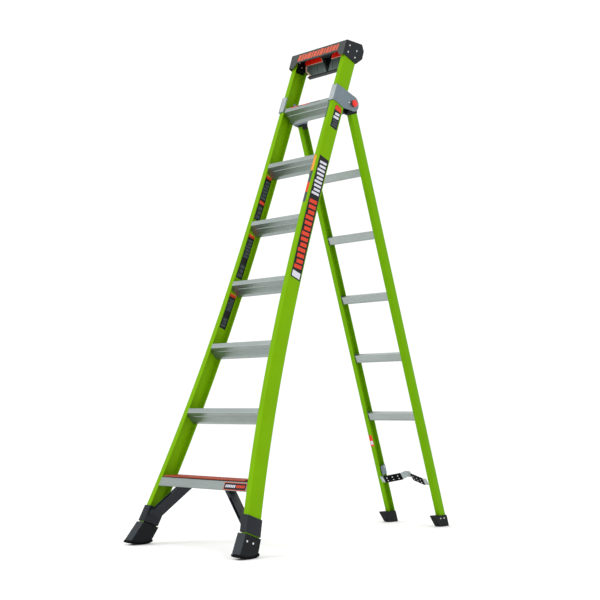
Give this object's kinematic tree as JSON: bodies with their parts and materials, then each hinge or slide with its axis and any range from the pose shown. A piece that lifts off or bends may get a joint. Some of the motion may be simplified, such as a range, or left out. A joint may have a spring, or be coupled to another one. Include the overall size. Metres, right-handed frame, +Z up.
{
  "type": "combination step and extension ladder",
  "caption": "Fibreglass combination ladder with flared climbing rails, a sprung lowest step, a cap with a turning wall pad, locking hinges and a rear section that swings over the top.",
  "frame": {"origin": "middle of the footprint, at floor level", "axes": "+Z up, -Y the climbing side, +X the climber's right"},
  "size_m": [0.7276, 1.596, 2.302],
  "materials": {
    "fibreglass": "pultruded fibreglass, satin lime green",
    "step_metal": "mill-finish ribbed extrusion",
    "tread_cover": "orange-red moulded cover",
    "spring_wire": "drawn spring wire",
    "brace_casting": "charcoal glass-filled moulding",
    "boot_moulding": "black moulding",
    "sole_rubber": "ribbed grip rubber",
    "cap_metal": "dark grey coated extrusion",
    "black_plate": "black coated plate",
    "pad_shell": "grey moulded shell",
    "pad_spine": "black moulding",
    "pad_rubber": "red rubber block",
    "bright_steel": "turned steel",
    "hinge_metal": "zinc-plated pressed steel",
    "button_red": "red moulded button",
    "fitting_black": "black moulding",
    "rung_metal": "mill-finish ribbed extrusion",
    "foot_moulding": "charcoal moulding",
    "strap_metal": "bright zinc-plated strip",
    "strap_rubber": "black rubber with round studs"
  },
  "bodies": {
    "front_section": {"front_rail_left": "fibreglass", "front_rail_right": "fibreglass", "step_2": "step_metal", "step_3": "step_metal", "step_4": "step_metal", "step_5": "step_metal", "step_6": "step_metal", "step_7": "step_metal", "bottom_step_beam": "step_metal", "tread_spring_left": "spring_wire", "tread_spring_right": "spring_wire", "corner_brace_left": "brace_casting", "corner_brace_right": "brace_casting", "front_boot_left": "boot_moulding", "front_boot_right": "boot_moulding", "front_sole_left": "sole_rubber", "front_sole_right": "sole_rubber", "top_cap": "cap_metal", "cap_end_plate_left": "cap_metal", "cap_end_plate_right": "cap_metal", "cap_inner_plate_left": "black_plate", "cap_inner_plate_right": "black_plate", "wall_pad_journal_left": "bright_steel", "wall_pad_journal_right": "bright_steel", "hinge_outer_plate_left": "hinge_metal", "hinge_outer_plate_right": "hinge_metal", "hinge_inner_plate_left": "hinge_metal", "hinge_inner_plate_right": "hinge_metal", "lock_spring_left": "spring_wire", "lock_spring_right": "spring_wire"},
    "bottom_tread": {"bottom_tread": "tread_cover"},
    "wall_pad": {"wall_pad_spine": "pad_spine", "wall_pad_body_left": "pad_shell", "wall_pad_body_right": "pad_shell", "wall_pad_rubber_left": "pad_rubber", "wall_pad_rubber_right": "pad_rubber"},
    "rear_section": {"rear_rail_left": "fibreglass", "rear_rail_right": "fibreglass", "rear_rung_2": "rung_metal", "rear_rung_3": "rung_metal", "rear_rung_4": "rung_metal", "rear_rung_5": "rung_metal", "rear_rung_6": "rung_metal", "rear_rung_7": "rung_metal", "rear_top_fitting_left": "fitting_black", "rear_top_fitting_right": "fitting_black", "rear_foot_left": "foot_moulding", "rear_foot_right": "foot_moulding", "pole_strap": "strap_metal", "strap_pad_left": "strap_rubber", "strap_pad_right": "strap_rubber", "strap_bracket_left": "strap_metal", "strap_bracket_right": "strap_metal", "hinge_pin_left": "bright_steel", "hinge_pin_right": "bright_steel"},
    "lock_button_left": {"lock_button_left": "button_red"},
    "lock_button_right": {"lock_button_right": "button_red"}
  },
  "joints": [
    {"name": "rear_fold", "type": "hinge", "parent": "front_section", "child": "rear_section", "pos_m": [0, 0.08929, 2.00074], "axis": [1, 0, 0], "range_deg": [-39, 141]},
    {"name": "wall_pad_turn", "type": "hinge", "parent": "front_section", "child": "wall_pad", "pos_m": [0, 0.11108, 2.236], "axis": [1, 0, 0], "range_deg": [0, 180]},
    {"name": "tread_press", "type": "slide", "parent": "front_section", "child": "bottom_tread", "axis": [0, -0.342, -0.9397], "range_m": [0, 0.004], "stiffness_N_per_m": 4000, "springref_m": -0.003, "deforming": ["tread_spring_left", "tread_spring_right"]},
    {"name": "left_lock_press", "type": "slide", "parent": "front_section", "child": "lock_button_left", "axis": [1, 0, 0], "range_m": [0, 0.005], "stiffness_N_per_m": 2000, "springref_m": -0.004, "deforming": ["lock_spring_left"]},
    {"name": "right_lock_press", "type": "slide", "parent": "front_section", "child": "lock_button_right", "axis": [-1, 0, 0], "range_m": [0, 0.005], "stiffness_N_per_m": 2000, "springref_m": -0.004, "deforming": ["lock_spring_right"]}
  ]
}
